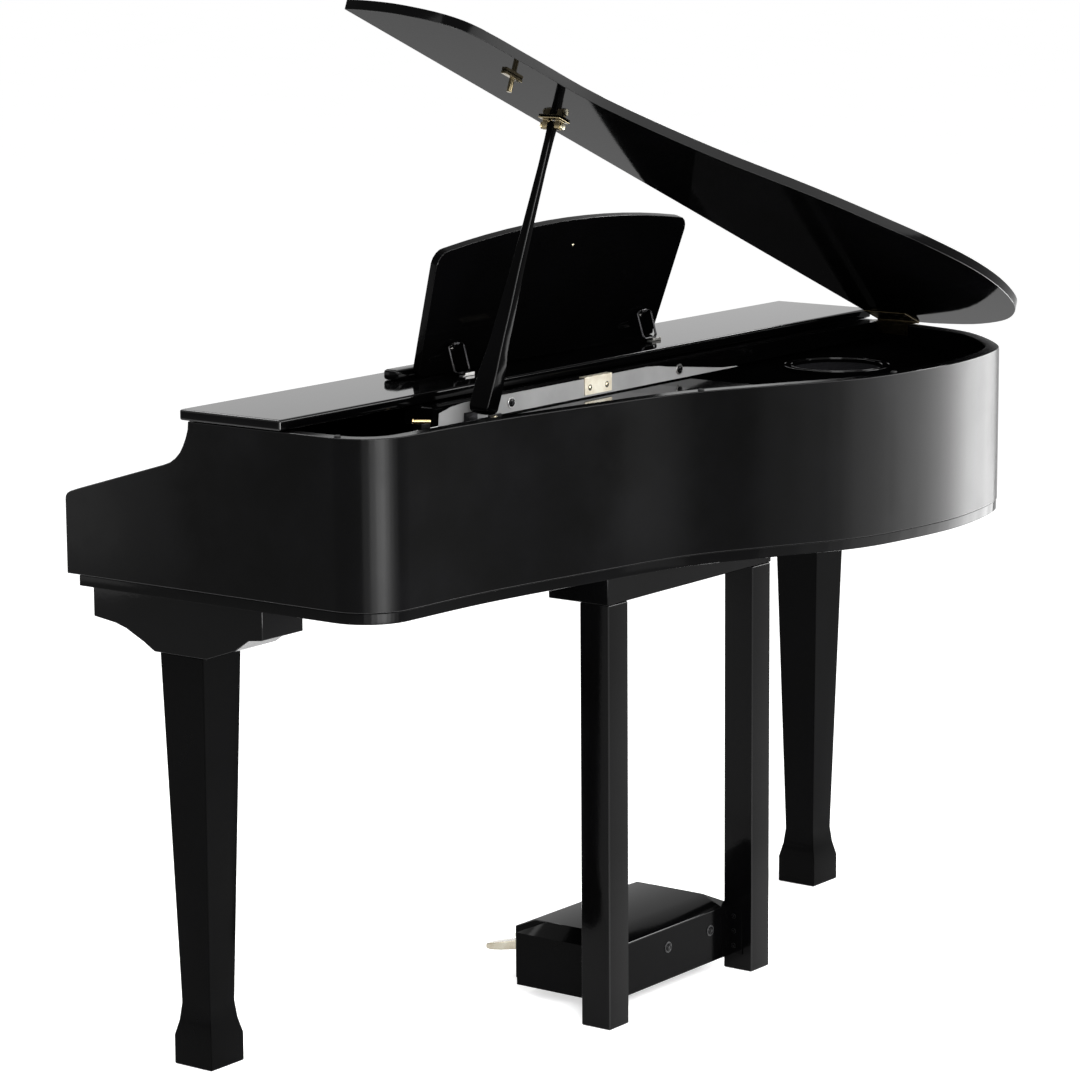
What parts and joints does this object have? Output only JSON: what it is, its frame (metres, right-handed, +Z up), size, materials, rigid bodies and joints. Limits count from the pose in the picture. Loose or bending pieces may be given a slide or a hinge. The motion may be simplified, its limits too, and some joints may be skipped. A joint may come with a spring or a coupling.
{
  "type": "digital grand piano",
  "caption": "Small digital grand piano, gloss black, lid held open by a prop, with keyboard, sliding key cover, music desk, tapered square legs and a pedal lyre",
  "frame": {"origin": "on the floor, under the middle of the whole piano's bounding box with the lid open", "axes": "+X to the player's right (treble side), +Y from the keyboard to the tail, +Z up"},
  "size_m": [1.41, 0.7575, 1.4336],
  "materials": {
    "black_lacquer": "board lacquered black and polished to a high gloss",
    "black_satin": "board painted satin black",
    "black_plastic": "satin black",
    "brass": "polished and lacquered",
    "steel": "zinc-plated sheet",
    "black_wire": "black-coated wire",
    "white_key": "polished warm white",
    "black_key": "satin black",
    "key_frame_wood": "bare board",
    "speaker_cone": "black paper cone in a black basket",
    "circuit_green": "green circuit laminate with its components"
  },
  "bodies": {
    "case": {"rim": "black_lacquer", "bottom_board": "black_satin", "cheek_block_treble": "black_lacquer", "cheek_block_bass": "black_lacquer", "key_slip": "black_lacquer", "front_flap": "black_lacquer", "front_rail": "black_lacquer", "cross_board": "black_lacquer", "soundboard": "black_lacquer", "bay_floor": "black_satin", "speaker_ring": "black_plastic", "speaker_driver": "speaker_cone", "main_board": "circuit_green", "power_supply": "steel", "control_panel": "black_plastic", "key_frame": "key_frame_wood", "keys_low": "white_key", "keys_high": "white_key", "lid_hinge_lower": "brass", "prop_foot_bracket": "brass", "desk_ledge": "black_lacquer", "leg_treble": "black_lacquer", "leg_bass": "black_lacquer", "leg_bracket_treble": "black_lacquer", "leg_bracket_bass": "black_lacquer", "lyre_block": "black_lacquer", "lyre_post_treble": "black_lacquer", "lyre_post_bass": "black_lacquer", "pedal_box": "black_lacquer", "pedal_strap_treble": "steel", "pedal_strap_bass": "steel"},
    "lid_body": {"lid": "black_lacquer", "lid_hinge_upper": "brass", "prop_head_bracket": "brass", "lid_striker": "brass"},
    "prop_body": {"lid_prop": "black_lacquer"},
    "desk_body": {"music_desk": "black_lacquer"},
    "stay_body_treble": {"desk_stay_treble": "black_wire"},
    "stay_body_bass": {"desk_stay_bass": "black_wire"},
    "cover_body": {"key_cover": "black_lacquer"},
    "knob_body": {"volume_knob": "black_plastic"},
    "power_body": {"power_button": "black_plastic"},
    "mode_body_1": {"mode_button_1": "black_plastic"},
    "mode_body_2": {"mode_button_2": "black_plastic"},
    "mode_body_3": {"mode_button_3": "black_plastic"},
    "body_c": {"key_c": "white_key"},
    "body_c_sharp": {"key_c_sharp": "black_key"},
    "body_d": {"key_d": "white_key"},
    "body_d_sharp": {"key_d_sharp": "black_key"},
    "body_e": {"key_e": "white_key"},
    "body_f": {"key_f": "white_key"},
    "body_f_sharp": {"key_f_sharp": "black_key"},
    "body_g": {"key_g": "white_key"},
    "body_g_sharp": {"key_g_sharp": "black_key"},
    "body_a": {"key_a": "white_key"},
    "body_a_sharp": {"key_a_sharp": "black_key"},
    "body_b": {"key_b": "white_key"},
    "body_soft": {"pedal_soft": "brass"},
    "body_sostenuto": {"pedal_sostenuto": "brass"},
    "body_damper": {"pedal_damper": "brass"}
  },
  "joints": [
    {"name": "lid_hinge", "type": "hinge", "parent": "case", "child": "lid_body", "pos_m": [-0.695, 0.07125, 0.8915], "axis": [0, 1, 0], "range_deg": [0, 22.45]},
    {"name": "prop_fold", "type": "hinge", "parent": "lid_body", "child": "prop_body", "pos_m": [0.1938, 0.06125, 1.249], "axis": [0, 1, 0], "range_deg": [-90, 0]},
    {"name": "desk_tilt", "type": "hinge", "parent": "case", "child": "desk_body", "pos_m": [0.041, -0.07875, 0.9075], "axis": [1, 0, 0], "range_deg": [-20, 0]},
    {"name": "stay_fold_treble", "type": "hinge", "parent": "desk_body", "child": "stay_body_treble", "pos_m": [0.255, -0.06125, 0.95], "axis": [1, 0, 0], "range_deg": [0, 46]},
    {"name": "stay_fold_bass", "type": "hinge", "parent": "desk_body", "child": "stay_body_bass", "pos_m": [-0.19, -0.06125, 0.95], "axis": [1, 0, 0], "range_deg": [0, 46]},
    {"name": "key_cover_slide", "type": "slide", "parent": "case", "child": "cover_body", "axis": [0, -0.9781, -0.2079], "range_m": [0, 0.15]},
    {"name": "volume_turn", "type": "hinge", "parent": "case", "child": "knob_body", "pos_m": [0.545, -0.18875, 0.7605], "axis": [0, 1, 0], "range_deg": [-150, 150]},
    {"name": "power_press", "type": "slide", "parent": "case", "child": "power_body", "axis": [0, 1, 0], "range_m": [0, 0.0015], "stiffness_N_per_m": 500, "springref_m": -0.001},
    {"name": "mode_press_1", "type": "slide", "parent": "case", "child": "mode_body_1", "axis": [0, 1, 0], "range_m": [0, 0.0015], "stiffness_N_per_m": 500, "springref_m": -0.001},
    {"name": "mode_press_2", "type": "slide", "parent": "case", "child": "mode_body_2", "axis": [0, 1, 0], "range_m": [0, 0.0015], "stiffness_N_per_m": 500, "springref_m": -0.001},
    {"name": "mode_press_3", "type": "slide", "parent": "case", "child": "mode_body_3", "axis": [0, 1, 0], "range_m": [0, 0.0015], "stiffness_N_per_m": 500, "springref_m": -0.001},
    {"name": "press_c", "type": "hinge", "parent": "case", "child": "body_c", "pos_m": [-0.05875, -0.09375, 0.7165], "axis": [1, 0, 0], "range_deg": [0, 2.5], "stiffness_Nm_per_rad": 5, "springref_deg": -3.44},
    {"name": "press_c_sharp", "type": "hinge", "parent": "case", "child": "body_c_sharp", "pos_m": [-0.047, -0.09375, 0.7165], "axis": [1, 0, 0], "range_deg": [0, 2.5], "stiffness_Nm_per_rad": 5, "springref_deg": -3.44},
    {"name": "press_d", "type": "hinge", "parent": "case", "child": "body_d", "pos_m": [-0.03525, -0.09375, 0.7165], "axis": [1, 0, 0], "range_deg": [0, 2.5], "stiffness_Nm_per_rad": 5, "springref_deg": -3.44},
    {"name": "press_d_sharp", "type": "hinge", "parent": "case", "child": "body_d_sharp", "pos_m": [-0.0235, -0.09375, 0.7165], "axis": [1, 0, 0], "range_deg": [0, 2.5], "stiffness_Nm_per_rad": 5, "springref_deg": -3.44},
    {"name": "press_e", "type": "hinge", "parent": "case", "child": "body_e", "pos_m": [-0.01175, -0.09375, 0.7165], "axis": [1, 0, 0], "range_deg": [0, 2.5], "stiffness_Nm_per_rad": 5, "springref_deg": -3.44},
    {"name": "press_f", "type": "hinge", "parent": "case", "child": "body_f", "pos_m": [0.01175, -0.09375, 0.7165], "axis": [1, 0, 0], "range_deg": [0, 2.5], "stiffness_Nm_per_rad": 5, "springref_deg": -3.44},
    {"name": "press_f_sharp", "type": "hinge", "parent": "case", "child": "body_f_sharp", "pos_m": [0.0235, -0.09375, 0.7165], "axis": [1, 0, 0], "range_deg": [0, 2.5], "stiffness_Nm_per_rad": 5, "springref_deg": -3.44},
    {"name": "press_g", "type": "hinge", "parent": "case", "child": "body_g", "pos_m": [0.03525, -0.09375, 0.7165], "axis": [1, 0, 0], "range_deg": [0, 2.5], "stiffness_Nm_per_rad": 5, "springref_deg": -3.44},
    {"name": "press_g_sharp", "type": "hinge", "parent": "case", "child": "body_g_sharp", "pos_m": [0.047, -0.09375, 0.7165], "axis": [1, 0, 0], "range_deg": [0, 2.5], "stiffness_Nm_per_rad": 5, "springref_deg": -3.44},
    {"name": "press_a", "type": "hinge", "parent": "case", "child": "body_a", "pos_m": [0.05875, -0.09375, 0.7165], "axis": [1, 0, 0], "range_deg": [0, 2.5], "stiffness_Nm_per_rad": 5, "springref_deg": -3.44},
    {"name": "press_a_sharp", "type": "hinge", "parent": "case", "child": "body_a_sharp", "pos_m": [0.0705, -0.09375, 0.7165], "axis": [1, 0, 0], "range_deg": [0, 2.5], "stiffness_Nm_per_rad": 5, "springref_deg": -3.44},
    {"name": "press_b", "type": "hinge", "parent": "case", "child": "body_b", "pos_m": [0.08225, -0.09375, 0.7165], "axis": [1, 0, 0], "range_deg": [0, 2.5], "stiffness_Nm_per_rad": 5, "springref_deg": -3.44},
    {"name": "press_soft", "type": "hinge", "parent": "case", "child": "body_soft", "pos_m": [-0.0605, 0.06125, 0.078], "axis": [1, 0, 0], "range_deg": [0, 3.5], "stiffness_Nm_per_rad": 30, "springref_deg": -3.44},
    {"name": "press_sostenuto", "type": "hinge", "parent": "case", "child": "body_sostenuto", "pos_m": [0.0095, 0.06125, 0.078], "axis": [1, 0, 0], "range_deg": [0, 3.5], "stiffness_Nm_per_rad": 30, "springref_deg": -3.44},
    {"name": "press_damper", "type": "hinge", "parent": "case", "child": "body_damper", "pos_m": [0.0795, 0.06125, 0.078], "axis": [1, 0, 0], "range_deg": [0, 3.5], "stiffness_Nm_per_rad": 30, "springref_deg": -3.44}
  ],
  "couplings": [
    {"joint": "prop_fold", "follows": "lid_hinge", "ratio": -3.92},
    {"joint": "stay_fold_treble", "follows": "desk_tilt", "ratio": -2.25},
    {"joint": "stay_fold_bass", "follows": "desk_tilt", "ratio": -2.25}
  ]
}
